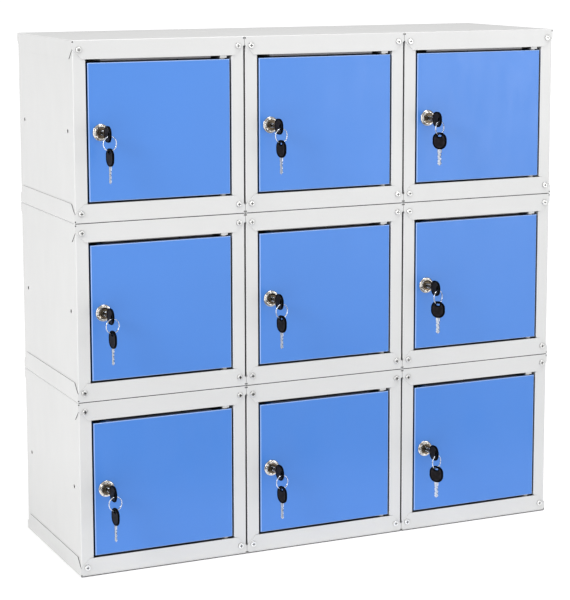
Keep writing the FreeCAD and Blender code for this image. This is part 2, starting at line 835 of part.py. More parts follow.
def four_corners(name, source, seat, rotation):
    """One locker's set of four corner fasteners."""
    pieces = []
    for side, sign in (("left", "-"), ("right", "+")):
        inward = "+" if sign == "-" else "-"
        across = "0 %s half_width %s corner_screw_inset" % (sign, inward)
        for level, up in (("low", "corner_screw_height"), ("high", "unit_height - corner_screw_height")):
            pieces.append(copy_of(source, "%s_%s_%s" % (name, side, level), across, seat, up, rotation))
    return node(name, pieces)


def joining_places():
    """Where neighbouring lockers are bolted together: (column, row, turned upright)."""
    places = []
    for row in range(ROWS):
        for column in range(COLUMNS - 1):
            places.append((column, row, False))
    for row in range(1, ROWS):
        for column in range(COLUMNS):
            places.append((column, row, True))
    return places


def joining_set(name, source, side_seat, top_seat):
    """Bolts or nuts at every joint between neighbours, two to a joint."""
    pieces = []
    for column, row, upright in joining_places():
        for end, sign in (("front", "-"), ("rear", "+")):
            inward = "+" if sign == "-" else "-"
            along = "0 %s half_depth %s joining_hole_inset" % (sign, inward)
            if upright:
                rotation = POINT_UP
                across = column_place(column)
                up = "%s + %s" % (row_place(row), top_seat)
            else:
                rotation = POINT_RIGHT
                across = "%s + %s" % (column_place(column), side_seat)
                up = "%s + unit_height / 2" % row_place(row)
            kind = "stack" if upright else "side"
            piece_name = "%s_%s_%s_r%dc%d" % (name, kind, end, row + 1, column + 1)
            pieces.append(copy_of(source, piece_name, across, along, up, rotation))
    return node(name, pieces)


def build():
    """Draw each piece once, then place it wherever it is used."""
    fill_sheet()
    tray = make_tray()
    side_panel = make_side_panel()
    right_panel = document.addObject("Part::Mirroring", "right_panel")
    right_panel.Source = side_panel
    right_panel.Normal = FreeCAD.Vector(1, 0, 0)
    nodes = [
        at_every_locker("top_panels", tray),
        at_every_locker("bottom_panels", tray, TURN_OVER, "unit_height"),
        at_every_locker("left_side_panels", side_panel),
        at_every_locker("right_side_panels", right_panel),
        at_every_locker("back_panels", make_back_panel()),
        at_every_locker("gap_covers", make_gap_cover()),
    ]

    hinge_pieces = (("hinge_brackets", make_bracket()), ("hinge_pins", make_pin()), ("hinge_bushes", make_bush()))
    for name, upper in hinge_pieces:
        lower = mirrored_in_height(upper, name + "_lower")
        nodes.append(at_every_locker(name, node(name + "_pair", [upper, lower])))

    screw = make_corner_screw()
    nut = make_nut("corner_nut", "nut_flats", "nut_height", "nut_bore")
    sets = (
        ("front_corner_screws", screw, "0 - half_depth", TURN_NONE),
        ("rear_corner_screws", screw, "half_depth", TURN_ABOUT),
        ("front_corner_nuts", nut, "0 - half_depth + 2 * sheet", TURN_NONE),
        ("rear_corner_nuts", nut, "half_depth - 3 * sheet", TURN_ABOUT),
    )
    for name, source, seat, rotation in sets:
        nodes.append(at_every_locker(name, four_corners(name + "_set", source, seat, rotation)))

    bolt = make_joining_bolt()
    large_nut = make_nut("joining_nut", "bolt_nut_flats", "bolt_nut_height", "bolt_nut_bore")
    nodes.append(joining_set("joining_bolts", bolt, "half_width - 2 * sheet", "unit_height - sheet"))
    nodes.append(joining_set("joining_nuts", large_nut, "column_pitch - half_width + 2 * sheet",
                             "unit_height + sheet"))

    leaf = make_leaf()
    door = node("door_set", [make_door_panel(), leaf, mirrored_in_height(leaf, "lower_leaf")])
    barrel = node("barrel_set", [make_housing(), make_lock_nut()])
    cam = node("cam_set", [make_plug(), make_cam(), make_cam_screw()])
    blade = make_key_blade()
    bow = make_key_bow()
    key = node("key_set", [blade, bow])
    ring = make_ring()
    for row in range(ROWS):
        for column in range(COLUMNS):
            place = "_r%dc%d" % (row + 1, column + 1)
            across = column_place(column)
            up = row_place(row)
            for name, source in (("door", door), ("lock_barrel", barrel), ("lock_cam", cam)):
                nodes.append(node(name + place, [copy_of(source, name + "_at" + place, across, "0", up)]))
            lock_x = across + " + lock_across"
            inserted = copy_of(key, "inserted" + place, lock_x, "0 - bow_near", up + " + door_middle")
            nodes.append(node("lock_key" + place, [inserted]))

            ring_turn = FreeCAD.Rotation(FreeCAD.Vector(0, 0, 1), RING_TURN[column])
            spare_turn = FreeCAD.Rotation(FreeCAD.Vector(0, 0, 1), SPARE_TURN[column])
            hung_ring = copy_of(ring, "ring" + place, lock_x, "0 - slot_out", up + " + ring_height",
                                ring_turn.multiply(FreeCAD.Rotation(FreeCAD.Vector(1, 0, 0), 90)))
            slot_to_root = "bow_length - bow_slot_inset"
            hung_key = copy_of(key, "hung" + place, lock_x, "0 - slot_out",
                               "%s + spare_slot_height - (%s)" % (up, slot_to_root),
                               spare_turn.multiply(BLADE_DOWN))
            nodes.append(node("spare_key" + place, [hung_ring, hung_key]))
    document.recompute()
    return nodes


def check(nodes):
    """Stop before anything is written if any object failed or any sub-part is not sound."""
    for thing in document.Objects:
        if "Invalid" in thing.State or "Error" in thing.State:
            raise RuntimeError("%s: %s" % (thing.Name, thing.State))
    for item in nodes:
        if item.Shape.isNull() or not item.Shape.isValid():
            raise RuntimeError("%s has no sound shape" % item.Label)
        for solid in item.Shape.Solids:
            if solid.Volume <= 0:
                raise RuntimeError("%s holds an empty solid" % item.Label)


def write(nodes):
    os.makedirs("parts", exist_ok=True)
    for item in nodes:
        item.Shape.exportStep("parts/%s.step" % item.Label)
        box = item.Shape.BoundBox
        print("%-22s %3d solids  %7.1f..%6.1f  %7.1f..%6.1f  %6.1f..%6.1f" % (
            item.Label, len(item.Shape.Solids),
            box.XMin, box.XMax, box.YMin, box.YMax, box.ZMin, box.ZMax))


sub_parts = build()
check(sub_parts)
write(sub_parts)
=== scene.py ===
"""Looks for a bank of nine steel cube lockers: powder-coated carcasses and doors, cam locks and keys.

The doors face -Y, +X is to the right and +Z is up. Lengths are in metres.
"""

import math
import operator

import bpy
import numpy as np
from mathutils import Matrix, Vector


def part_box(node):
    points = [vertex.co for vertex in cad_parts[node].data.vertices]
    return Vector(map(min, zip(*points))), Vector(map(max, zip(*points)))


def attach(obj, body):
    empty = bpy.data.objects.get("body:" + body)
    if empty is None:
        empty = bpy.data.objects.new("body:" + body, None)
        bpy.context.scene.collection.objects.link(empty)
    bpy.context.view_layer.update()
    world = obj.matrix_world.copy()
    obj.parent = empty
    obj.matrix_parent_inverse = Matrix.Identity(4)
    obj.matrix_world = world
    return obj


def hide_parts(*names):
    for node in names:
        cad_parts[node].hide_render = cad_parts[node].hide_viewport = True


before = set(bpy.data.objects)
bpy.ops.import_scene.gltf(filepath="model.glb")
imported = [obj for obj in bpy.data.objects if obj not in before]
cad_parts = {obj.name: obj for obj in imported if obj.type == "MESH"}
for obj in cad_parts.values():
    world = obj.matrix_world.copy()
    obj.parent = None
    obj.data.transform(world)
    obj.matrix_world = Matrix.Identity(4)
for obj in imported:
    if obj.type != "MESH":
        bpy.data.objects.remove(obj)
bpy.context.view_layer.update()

LOCKERS = ["r%dc%d" % (row, column) for row in (1, 2, 3) for column in (1, 2, 3)]
MM = 0.001


# ---------------------------------------------------------------- camera


CAMERA_PLACE = (-1.4183, -3.0787, 1.0501)
CAMERA_TURN = (81.75, 0.12, -24.62)
SENSOR_WIDTH = 36
LENS = 113.66
SHIFT_UP = -0.133


def make_camera():
    """A long lens that looks down a little from the front left; the turn is in degrees."""
    data = bpy.data.cameras.new("camera")
    data.sensor_width = SENSOR_WIDTH
    data.lens = LENS
    data.shift_y = SHIFT_UP
    camera = bpy.data.objects.new("camera", data)
    camera.location = CAMERA_PLACE
    camera.rotation_euler = [math.radians(angle) for angle in CAMERA_TURN]
    bpy.context.scene.collection.objects.link(camera)
    bpy.context.scene.camera = camera


make_camera()


# ---------------------------------------------------------------- node helpers


# Where a mix node keeps its two colours and the mixed one.
MIX_COLOURS = slice(6, 8)
MIXED_COLOUR = 2


class Shader:
    """A material's node tree, with short calls to add and join nodes."""

    def __init__(self, name):
        self.material = bpy.data.materials.new(name)
        self.material.use_nodes = True
        self.tree = self.material.node_tree
        self.surface = self.tree.nodes["Principled BSDF"]
        self.place = self.add("ShaderNodeTexCoord").outputs["Object"]

    def add(self, kind, **settings):
        made = self.tree.nodes.new(kind)
        for key, value in settings.items():
            setattr(made, key, value)
        return made

    def join(self, source, target):
        self.tree.links.new(source, target)

    def set(self, **values):
        """Values of the surface's own sockets, with spaces in their names as underscores."""
        for key, value in values.items():
            self.surface.inputs[key.replace("_", " ")].default_value = value

    def stretched(self, scale):
        """The object's own coordinates, scaled along each axis."""
        mapping = self.add("ShaderNodeMapping")
        mapping.inputs["Scale"].default_value = scale
        self.join(self.place, mapping.inputs["Vector"])
        return mapping.outputs["Vector"]

    def noise(self, scale, detail=2.0, roughness=0.5, place=None):
        """Smooth noise from 0 to 1 with about the given number of blobs in a metre."""
        noise = self.add("ShaderNodeTexNoise")
        noise.inputs["Scale"].default_value = scale
        noise.inputs["Detail"].default_value = detail
        noise.inputs["Roughness"].default_value = roughness
        self.join(place or self.place, noise.inputs["Vector"])
        return noise.outputs["Fac"]

    def remap(self, value, low, high, to_low=0.0, to_high=1.0):
        """Slides the range from low to high to another range and holds it at both ends."""
        change = self.add("ShaderNodeMapRange")
        change.inputs["From Min"].default_value = low
        change.inputs["From Max"].default_value = high
        change.inputs["To Min"].default_value = to_low
        change.inputs["To Max"].default_value = to_high
        self.join(value, change.inputs["Value"])
        return change.outputs["Result"]

    def math(self, operation, first, second):
        """One operation on two values, each a number or a socket."""
        node = self.add("ShaderNodeMath", operation=operation)
        for socket, value in zip(node.inputs, (first, second)):
            if isinstance(value, (int, float)):
                socket.default_value = value
            else:
                self.join(value, socket)
        return node.outputs["Value"]

    def blend(self, factor, first, second):
        """One colour turning to another as the factor goes from 0 to 1."""
        mix = self.add("ShaderNodeMix", data_type="RGBA")
        self.join(factor, mix.inputs["Factor"])
        for socket, value in zip(mix.inputs[MIX_COLOURS], (first, second)):
            if isinstance(value, tuple):
                socket.default_value = (*value, 1.0)
            else:
                self.join(value, socket)
        return mix.outputs[MIXED_COLOUR]

    def crevice(self, reach):
        """Openness of a point: 0 deep in a gap or corner, 1 out in the open."""
        shade = self.add("ShaderNodeAmbientOcclusion", samples=12)
        shade.inputs["Distance"].default_value = reach
        return shade.outputs["AO"]

    def facing(self):
        """How far the surface faces along each of the object's axes, either way, from 0 to 1."""
        size = self.add("ShaderNodeVectorMath", operation="ABSOLUTE")
        self.join(self.add("ShaderNodeTexCoord").outputs["Normal"], size.inputs[0])
        split = self.add("ShaderNodeSeparateXYZ")
        self.join(size.outputs["Vector"], split.inputs["Vector"])
        return split.outputs

    def fold(self):
        """1 along the middle of a folded edge, 0 on a panel's flat faces."""
        along = self.facing()
        most = self.math("MAXIMUM", self.math("MAXIMUM", along["X"], along["Y"]), along["Z"])
        return self.remap(most, 0.98, 0.75)

    def colour(self, value):
        self.join(value, self.surface.inputs["Base Color"])

    def roughness(self, value):
        self.join(value, self.surface.inputs["Roughness"])

    def bump(self, height, depth, previous=None):
        """Surface relief: height runs from 0 to 1 and depth is its real size in metres."""
        relief = self.add("ShaderNodeBump")
        relief.inputs["Strength"].default_value = 1.0
        relief.inputs["Distance"].default_value = depth
        self.join(height, relief.inputs["Height"])
        if previous is not None:
            self.join(previous, relief.inputs["Normal"])
        self.join(relief.outputs["Normal"], self.surface.inputs["Normal"])
        return relief.outputs["Normal"]


def darker(colour, share):
    return tuple(channel * share for channel in colour)


# ---------------------------------------------------------------- materials


def powder_coat(name, colour, pale, gloss, gap_shade, glint, wear_and_highlight, joints):
    """Baked powder paint: orange peel, faint specks, a painted highlight on the folds and painted shade in
    gaps.

    The specks are pale. Gaps and corners are painted darker towards the gap colour as shade, and the folds
    lighter towards the glint colour as a highlight, with the given strength. The higher the last argument
    is, the more that painted shade darkens the front folds beside a gap.
    """
    shader = Shader(name)
    cloud = shader.noise(5.0, 3.0)
    tone = shader.blend(shader.remap(cloud, 0.3, 0.7), darker(colour, 0.965), colour)
    grain = shader.noise(900.0, 1.0)
    tone = shader.blend(shader.remap(grain, 0.62, 0.75, 0.0, 0.35), tone, pale)
    # Painted highlight: the folds are lightened towards the glint colour.
    tone = shader.blend(shader.math("MULTIPLY", shader.fold(), wear_and_highlight), tone, glint)
    # Painted shade: gaps, corners and the front folds beside a gap are darkened towards the gap colour; the
    # sides less so.
    along = shader.facing()
    side_fold = shader.math("MULTIPLY", along["X"], along["Z"])
    front_fold = shader.math("MULTIPLY", shader.math("ADD", along["X"], along["Z"]), along["Y"])
    sides_less_shaded = shader.math("ADD", side_fold, shader.math("MULTIPLY", along["X"], 0.24))
    openness = shader.math("ADD", shader.crevice(12 * MM), sides_less_shaded)
    openness = shader.math("SUBTRACT", openness, shader.math("MULTIPLY", front_fold, joints))
    shaded_below, unshaded_above = 0.40, 0.64
    shader.colour(shader.blend(shader.remap(openness, shaded_below, unshaded_above), gap_shade, tone))
    marks = shader.noise(38.0, 4.0, 0.62, shader.stretched((1.0, 1.0, 0.35)))
    shader.roughness(shader.remap(marks, 0.3, 0.75, gloss, gloss + 0.12))
    peel = shader.bump(shader.noise(420.0, 1.5), 0.06 * MM)
    shader.bump(shader.noise(1500.0, 1.0), 0.02 * MM, peel)
    shader.set(Specular_IOR_Level=0.5, Coat_Weight=0.12, Coat_Roughness=0.22)
    return shader.material


def bright_metal(name, colour, dull, smooth, rough):
    """Plated metal: fine grain, patchy roughness, a little tarnish in patches and painted shade in corners.
    """
    shader = Shader(name)
    grain = shader.noise(900.0, 3.0, 0.6)
    patch = shader.noise(160.0, 3.0, 0.6)
    tone = shader.blend(shader.remap(patch, 0.45, 0.75, 0.0, 0.5), colour, dull)
    # Painted shade: corners and hollows darken towards a near-black copy of the tarnish colour.
    openness = shader.remap(shader.crevice(4 * MM), 0.25, 0.88)
    shader.colour(shader.blend(openness, darker(dull, 0.08), tone))
    mixed = shader.math("MULTIPLY", grain, patch)
    shader.roughness(shader.remap(mixed, 0.12, 0.42, smooth, rough))
    shader.bump(grain, 0.012 * MM)
    shader.set(Metallic=1.0)
    return shader.material


def moulded_plastic(name, colour, wear_and_highlight, smooth, rough, depth=0.04 * MM, shine=0.5):
    """Moulded plastic: fine spark texture of the given depth, dulled by handling."""
    shader = Shader(name)
    patch = shader.noise(120.0, 3.0, 0.6)
    shader.colour(shader.blend(shader.remap(patch, 0.4, 0.75), colour, wear_and_highlight))
    shader.roughness(shader.remap(patch, 0.3, 0.7, smooth, rough))
    shader.bump(shader.noise(2600.0, 2.0), depth)
    shader.set(Specular_IOR_Level=shine)
    return shader.material


# In each powder coat the gap colour is painted shade and the glint colour is a painted highlight on the
# folds.
GREY = powder_coat("grey_powder_coat", colour=(0.63, 0.63, 0.625), pale=(0.69, 0.69, 0.69), gloss=0.33,
                   gap_shade=(0.008, 0.008, 0.011), glint=(0.85, 0.85, 0.85), wear_and_highlight=0.5, joints=0.6)
COVER_GREY = powder_coat("cover_powder_coat", colour=(0.63, 0.62, 0.635), pale=(0.69, 0.68, 0.69), gloss=0.33,
                         gap_shade=(0.50, 0.48, 0.51), glint=(0.85, 0.85, 0.85), wear_and_highlight=0.5, joints=0.0)
BLUE = powder_coat("blue_powder_coat", colour=(0.053, 0.210, 0.64), pale=(0.085, 0.256, 0.68), gloss=0.30,
                   gap_shade=(0.0, 0.003, 0.018), glint=(0.55, 0.70, 0.98), wear_and_highlight=0.8, joints=0.0)
SCREW = bright_metal("screw_coat", (0.80, 0.80, 0.79), (0.62, 0.61, 0.59), 0.26, 0.42)
# The screws' cross recesses are painted near-black as shade.
RECESS_SHADE = bright_metal("screw_recess", (0.05, 0.05, 0.05), (0.02, 0.02, 0.02), 0.45, 0.60)
ZINC = bright_metal("zinc_plate", (0.66, 0.67, 0.69), (0.50, 0.50, 0.48), 0.22, 0.42)
NICKEL = bright_metal("nickel_plate", (0.74, 0.71, 0.66), (0.34, 0.29, 0.23), 0.05, 0.14)
# The collar's dish and the plug are painted dark as shade.
DISH_SHADE = bright_metal("dish_shade", (0.20, 0.16, 0.12), (0.05, 0.035, 0.025), 0.10, 0.26)
PLUG_SHADE = bright_metal("plug_metal", (0.10, 0.080, 0.055), (0.035, 0.026, 0.018), 0.18, 0.34)
KEY_METAL = bright_metal("key_metal", (0.54, 0.58, 0.65), (0.28, 0.31, 0.36), 0.12, 0.26)
WIRE = bright_metal("ring_wire", (0.74, 0.77, 0.82), (0.56, 0.59, 0.63), 0.12, 0.26)
NYLON = moulded_plastic("white_nylon", (0.68, 0.66, 0.64), (0.58, 0.56, 0.54), 0.35, 0.50)
BLACK = moulded_plastic("bow_rim_plastic", (0.0005, 0.0005, 0.001), (0.001, 0.001, 0.0015), 0.22, 0.34,
                        depth=0.02 * MM, shine=0.03)
CHARCOAL = moulded_plastic("bow_panel_plastic", (0.006, 0.0045, 0.005), (0.030, 0.024, 0.025), 0.38, 0.56,
                           depth=0.08 * MM, shine=0.10)


# ---------------------------------------------------------------- painted pieces


# From one locker to the next, and from a locker's middle to its corner screws.
COLUMN_PITCH, ROW_PITCH = 0.304, 0.3
SCREW_ACROSS, SCREW_UP = 0.1402, 0.134
RECESS_RADIUS = 2.85 * MM
HEAD_FACE_DEPTH = 0.05 * MM


def paint(node, *materials):
    """Gives a CAD piece its finishes in place of the ones it came with."""
    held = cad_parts[node].data.materials
    held.clear()
    for material in materials:
        held.append(material)


def paint_recess_shade(node):
    """Paints the cross recess in every corner screw's head near-black, as painted shade."""
    paint(node, SCREW, RECESS_SHADE)
    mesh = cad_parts[node].data
    centres = np.empty(len(mesh.polygons) * 3)
    mesh.polygons.foreach_get("center", centres)
    x, y, z = centres.reshape(-1, 3).T
    from_column = x - COLUMN_PITCH * np.round(x / COLUMN_PITCH)
    from_row = z - ROW_PITCH / 2 - ROW_PITCH * np.round(z / ROW_PITCH - 0.5)
    across = np.abs(np.abs(from_column) - SCREW_ACROSS)
    up = np.abs(np.abs(from_row) - SCREW_UP)
    sunk = np.abs(y) < np.abs(y).max() - HEAD_FACE_DEPTH
    slots = (sunk & (np.hypot(across, up) < RECESS_RADIUS)).astype(np.int32)
    mesh.polygons.foreach_set("material_index", slots)
    mesh.update()


for node in ("top_panels", "bottom_panels", "left_side_panels", "right_side_panels", "back_panels",
             "hinge_brackets"):
    paint(node, GREY)
for node in ("front_corner_nuts", "rear_corner_nuts", "joining_bolts", "joining_nuts", "hinge_pins"):
    paint(node, ZINC)
for node in ("front_corner_screws", "rear_corner_screws"):
    paint_recess_shade(node)
for locker in LOCKERS:
    paint("door_" + locker, BLUE)
paint("gap_covers", COVER_GREY)
paint("hinge_bushes", NYLON)


# ---------------------------------------------------------------- mesh helpers


def finished(name, points, faces, materials, sharp, slots=None):
    """A mesh with smooth shading except across edges sharper than the given angle in degrees."""
    mesh = bpy.data.meshes.new(name)
    mesh.from_pydata([tuple(point) for point in points], [], faces)
    for material in materials:
        mesh.materials.append(material)
    if slots is not None:
        mesh.polygons.foreach_set("material_index", slots)
    mesh.shade_smooth()
    mesh.set_sharp_from_angle(angle=math.radians(sharp))
    mesh.validate()
    return mesh


def wrapped(rings, closed_ends=False):
    """Quads that join each ring of points to the next, and flat ends if wanted."""
    count = len(rings[0])
    faces = []
    for lower in range(len(rings) - 1):
        for i in range(count):
            j = (i + 1) % count
            a, b = lower * count, (lower + 1) * count
            faces.append((a + i, b + i, b + j, a + j))
    if closed_ends:
        faces.append(tuple(range(count)))
        last = (len(rings) - 1) * count
        faces.append(tuple(reversed(range(last, last + count))))
    return [point for ring in rings for point in ring], faces


def turned(profile, steps, shape=None):
    """Rings round the Y axis from (radius, outward distance) pairs; outward is -Y."""
    rings = []
    for radius, outward in profile:
        ring = []
        for i in range(steps):
            angle = 2 * math.pi * i / steps
            r, out = shape(angle, radius, outward) if shape else (radius, outward)
            ring.append((r * math.cos(angle), -out, r * math.sin(angle)))
        rings.append(ring)
    return rings


def plate(name, outlines, thickness, edge, material):
    """A flat plate in the XZ plane with holes and rounded edges, centred on Y = 0."""
    curve = bpy.data.curves.new(name, "CURVE")
    curve.dimensions = "2D"
    curve.fill_mode = "BOTH"
    curve.extrude = thickness / 2 - edge
    curve.bevel_depth = edge
    curve.bevel_resolution = 2
    curve.offset = -edge
    for outline in outlines:
        spline = curve.splines.new("POLY")
        spline.points.add(len(outline) - 1)
        spline.use_cyclic_u = True
        for point, (x, z) in zip(spline.points, outline):
            point.co = (x, z, 0, 1)
    holder = bpy.data.objects.new(name, curve)
    bpy.context.scene.collection.objects.link(holder)
    bpy.context.view_layer.update()
    mesh = bpy.data.meshes.new_from_object(holder.evaluated_get(bpy.context.evaluated_depsgraph_get()))
    bpy.data.objects.remove(holder)
    mesh.transform(Matrix.Rotation(math.radians(90), 4, "X"))
    mesh.materials.clear()
    mesh.materials.append(material)
    mesh.shade_smooth()
    mesh.set_sharp_from_angle(angle=math.radians(50))
    return mesh


def piece(name, mesh, place, body, slot_name, *nodes):
    """Puts a mesh in place as a new piece that rides on a body and stands for some nodes."""
    made = bpy.data.objects.new(name, mesh)
    bpy.context.scene.collection.objects.link(made)
    made.matrix_world = place
    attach(made, body)
    if nodes:
        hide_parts(*nodes)


# ---------------------------------------------------------------- lock


COLLAR_FRONT = 4.5 * MM
NOTCHES = 10
DISH_RADIUS = 9.6 * MM
BARREL_TURNS = 12
BARREL_FLAT = 8.25 * MM
DOOR_SHEET = 1.0 * MM
CAM_THICK = 2.0 * MM
CAM_SCREW_HEAD = 2.4 * MM


def collar_shape(angle, radius, outward):
    """Shallow notches across the collar's raised ring."""
    if radius < 10.2 * MM or outward < 3.0 * MM:
        return radius, outward
    swing = (angle * NOTCHES / (2 * math.pi)) % 1.0 - 0.5
    cut = max(0.0, 1.0 - (abs(swing) / 0.17) ** 4)
    return radius - 0.7 * MM * cut, outward - 0.9 * MM * cut


def make_collar_mesh():
    """Lock housing: a plated collar with a notched ring, and a threaded barrel with two flats.

    The profile runs from the dish round the plug out to the flange and back along the thread. It is made of
    radii and distances out of the door's face in millimetres.
    """
    dish = [(7.08, 3.0), (7.5, 3.05), (8.5, 3.1), (9.0, 3.3)]
    crest = [(9.4, 4.0), (9.7, 4.35), (10.2, 4.5), (10.9, 4.5), (11.4, 4.38), (11.7, 4.1), (11.8, 3.7)]
    flange = [(11.8, 3.0), (11.8, 2.3), (11.85, 1.95), (12.1, 1.78), (12.6, 1.72), (13.2, 1.58), (13.7, 1.25),
              (13.95, 0.8), (14.0, 0.35), (14.0, 0.0), (9.25, 0.0)]
    thread = [(9.2, -1.2)]
    for turn in range(BARREL_TURNS):
        start = -1.8 - turn
        thread += [(9.15, start), (9.2, start - 0.12), (8.65, start - 0.5), (8.65, start - 0.62)]
        thread += [(9.15, start - 0.98)]
    back = [(8.9, -15.1), (8.5, -15.5), (7.05, -15.5), (7.05, 3.0)]
    profile = [(r * MM, out * MM) for r, out in dish + crest + flange + thread + back]
    rings = turned(profile, 120, collar_shape)
    for ring, (radius, outward) in zip(rings, profile):
        if outward < -1.0 * MM and radius > 8 * MM:
            ring[:] = [(max(-BARREL_FLAT, min(BARREL_FLAT, x)), y, z) for x, y, z in ring]
    points, faces = wrapped(rings)
    collar = finished("lock_collar", points, faces, [NICKEL, DISH_SHADE], 32)
    # Faces in the dish take the dark second material, which is painted shade.
    for face in collar.polygons:
        in_dish = math.hypot(face.center.x, face.center.z) < DISH_RADIUS and face.center.y < 0.0
        face.material_index = 1 if in_dish else 0
    return collar


def make_nut_mesh():
    """Large hexagon nut, chamfered at its corners, that clamps the lock to the door."""
    across = 12.0 * MM
    steps = 96
    profile = [(9.25, 0.0), (11.6, 0.0), (13.85, 0.9), (13.85, 3.1), (11.6, 4.0), (9.6, 4.0), (9.25, 3.7)]
    rings = []
    for radius, out in profile + profile[:1]:
        ring = []
        for i in range(steps):
            angle = 2 * math.pi * i / steps
            sector = (angle + math.pi / 6) % (math.pi / 3) - math.pi / 6
            r = min(radius * MM, across / math.cos(sector))
            ring.append((r * math.sin(angle), out * MM, r * math.cos(angle)))
        rings.append(ring)
    points, faces = wrapped(rings)
    return finished("lock_nut", points, faces, [ZINC], 25)


def make_plug_mesh():
    """Lock plug: chamfered face, and a keyway with a lead-in rounded by wear. Its profile is in millimetres.
    """
    steps = 96
    length, barrel, face, face_out = 19.3, 7.0, 6.4, 3.7
    rim = [(barrel, face_out - length), (barrel, 3.35), (6.75, 3.62), (face, face_out)]
    rings = turned([(r * MM, out * MM) for r, out in rim], steps)
    half_x, half_z = 1.15 * MM, 4.2 * MM
    # A share is a place between the keyway's edge, 0, and the rim of the face, 1.
    for share, out in ((0.6, face_out), (0.25, face_out), (0.08, 3.66), (0.0, 3.45), (0.0, -11.3)):
        ring = []
        for i in range(steps):
            angle = 2 * math.pi * i / steps
            c, s = math.cos(angle), math.sin(angle)
            keyway = min(half_x / max(abs(c), 1e-9), half_z / max(abs(s), 1e-9))
            r = keyway + (face * MM - keyway) * share
            ring.append((r * c, -out * MM, r * s))
        rings.append(ring)
    points, faces = wrapped(rings)
    last = (len(rings) - 1) * steps
    faces.append(tuple(range(last, last + steps)))
    faces.append(tuple(reversed(range(steps))))
    return finished("lock_plug", points, faces, [PLUG_SHADE], 30)


def make_cam_mesh():
    """Stamped cam finger with a square hole and rolled edges, seen behind the door."""
    finger, wide, tip = 31 * MM, 7.5 * MM, 6.0 * MM
    outline = []
    for i in range(17):
        angle = math.pi * i / 16
        outline.append((wide * math.cos(angle), wide * math.sin(angle)))
    corner = 2.2 * MM
    for x, z, start in ((-tip + corner, -finger + corner, 180), (tip - corner, -finger + corner, 270)):
        for i in range(7):
            angle = math.radians(start + 15 * i)
            outline.append((x + corner * math.cos(angle), z + corner * math.sin(angle)))
    side = 3.55 * MM
    hole = [(-side, -side), (-side, side), (side, side), (side, -side)]
    return plate("cam_finger", [outline, hole], CAM_THICK, 0.3 * MM, ZINC)


def make_cam_screw_mesh():
    """Low cam screw: a domed head with a cross recess."""
    steps = 48
    head = [(5.2, 0.0), (5.2, 1.3), (4.7, 2.0), (3.6, 2.36), (2.6, 2.4)]
    recess = [(1.9, 2.4), (1.2, 1.5), (0.4, 1.2)]
    rings = []
    for radius, out in head + recess:
        ring = []
        for i in range(steps):
            angle = 2 * math.pi * i / steps
            cross = 0.35 + 0.65 * abs(math.cos(2 * angle)) ** 3
            r = radius * cross if (radius, out) in recess else radius
            ring.append((r * MM * math.cos(angle), out * MM, r * MM * math.sin(angle)))
        rings.append(ring)
    points, faces = wrapped([ring[::-1] for ring in rings], closed_ends=True)
    return finished("cam_screw", points, faces, [ZINC], 30)


# ---------------------------------------------------------------- keys


BOW_LENGTH = 30 * MM
BOW_HALF = 13.5 * MM
BOW_CORNER = 12.4 * MM
BOW_HALF_THICK = 1.8 * MM
PANEL_DEPTH = 0.5 * MM
SLOT_CENTRE = -24.4 * MM
SLOT_HALF = (2.1 * MM, 3.8 * MM)
BLADE_LENGTH = 28 * MM
BLADE_ROOT = 5 * MM
RING_RADIUS = 11.9 * MM
RING_TOP = 13.0 * MM

# The slopes down to the sunk panel: where each starts and ends, from the outline and from the slot.
OUTER_SLOPE = (2.3 * MM, 3.0 * MM)
SLOT_SLOPE = (1.7 * MM, 2.4 * MM)

# The panel's own finish starts this far from the outline and from the slot.
PANEL_FINISH = (2.9 * MM, 2.3 * MM)

# How far each column's split ring and spare key have turned about the vertical, in degrees.
RING_TURN = {"1": 8.0, "2": 11.0, "3": 24.0}
SPARE_TURN = {"1": 5.0, "2": 10.0, "3": 33.0}


def bow_edge(y, z):
    """Distance inward from the bow's outline to a point of its face."""
    half = BOW_LENGTH / 2
    dy = abs(y + half) - (half - BOW_CORNER)
    dz = abs(z) - (BOW_HALF - BOW_CORNER)
    return BOW_CORNER - math.hypot(max(dy, 0), max(dz, 0)) - min(max(dy, dz), 0)


def slot_edge(y, z):
    """Distance outward from the ring slot to a point of the bow's face."""
    radius, half_long = SLOT_HALF
    return math.hypot(y - SLOT_CENTRE, max(abs(z) - (half_long - radius), 0)) - radius


def eased(value, low, high):
    """A smooth step from 0 at low to 1 at high."""
    share = min(1.0, max(0.0, (value - low) / (high - low)))
    return share * share * (3 - 2 * share)


def bow_height(y, z):
    """Half thickness of the bow: rounded outline, raised rim and a sunk panel on each face."""
    outer = max(bow_edge(y, z), 0.0)
    inner = max(slot_edge(y, z), 0.0)
    fall = 1.1 * MM
    near = min(outer, inner * 1.6)
    round_off = math.sqrt(max(0.0, 1 - (1 - min(near / fall, 1.0)) ** 2))
    sunk = eased(outer, *OUTER_SLOPE) * eased(inner, *SLOT_SLOPE)
    crown = 0.12 * MM * eased(outer, 0.0, 13 * MM)
    return BOW_HALF_THICK - fall + fall * round_off - PANEL_DEPTH * sunk + crown * sunk


def reach(angle, distance, level, passed):
    """How far from the slot's centre, in one direction, a distance first passes a level."""
    low, high = 0.0, 40 * MM
    for _ in range(40):
        middle = (low + high) / 2
        value = distance(SLOT_CENTRE + middle * math.cos(angle), middle * math.sin(angle))
        low, high = (low, middle) if passed(value, level) else (middle, high)
    return low


def bow_stops(angle):
    """Where the slot, the sunk panel's two slopes and the outline lie in one direction."""
    near, *rises = [reach(angle, slot_edge, level, operator.gt) for level in (0.0, *SLOT_SLOPE)]
    *falls, far = [reach(angle, bow_edge, level, operator.lt) for level in (*OUTER_SLOPE[::-1], 0.0)]
    least = 0.02 * (far - near)
    between = [min(max(stop, near + (k + 1) * least), far - (4 - k) * least)
               for k, stop in enumerate(sorted(rises + falls))]
    return [near] + between + [far]


